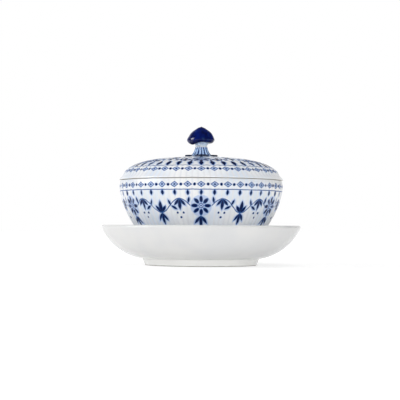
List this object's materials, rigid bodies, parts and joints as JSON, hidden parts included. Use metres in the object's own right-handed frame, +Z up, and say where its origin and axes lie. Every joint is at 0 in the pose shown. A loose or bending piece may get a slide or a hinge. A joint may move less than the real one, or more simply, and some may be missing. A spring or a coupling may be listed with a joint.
{
  "type": "lidded bowl",
  "caption": "Round fluted porcelain bowl with a domed lift-off lid and a mushroom-shaped knob, standing in a deep plain saucer with a foot ring.",
  "frame": {"origin": "middle of the saucer's foot ring, on the table", "axes": "+Z up along the axis that all pieces share; the front is -Y, where the knob's brim is lifted"},
  "size_m": [0.15, 0.15, 0.1045],
  "materials": {
    "white_glaze": "clear gloss glaze over white porcelain",
    "painted_glaze": "clear gloss glaze over cobalt-blue painting on white porcelain",
    "stem_glaze": "clear gloss glaze over blue brush strokes on white porcelain",
    "cobalt_glaze": "clear gloss glaze over solid cobalt blue"
  },
  "bodies": {
    "saucer": {"saucer": "white_glaze"},
    "bowl": {"bowl": "painted_glaze"},
    "lid": {"lid": "painted_glaze", "knob_stem": "stem_glaze", "knob_cap": "cobalt_glaze", "knob_leaf_1": "cobalt_glaze", "knob_leaf_2": "cobalt_glaze", "knob_leaf_3": "cobalt_glaze", "knob_leaf_4": "cobalt_glaze", "knob_leaf_5": "cobalt_glaze"}
  },
  "joints": [
    {"name": "bowl_lift", "type": "slide", "parent": "saucer", "child": "bowl", "axis": [0, 0, 1], "range_m": [0, 0.06]},
    {"name": "lid_lift", "type": "slide", "parent": "bowl", "child": "lid", "axis": [0, 0, 1], "range_m": [0, 0.05]}
  ]
}
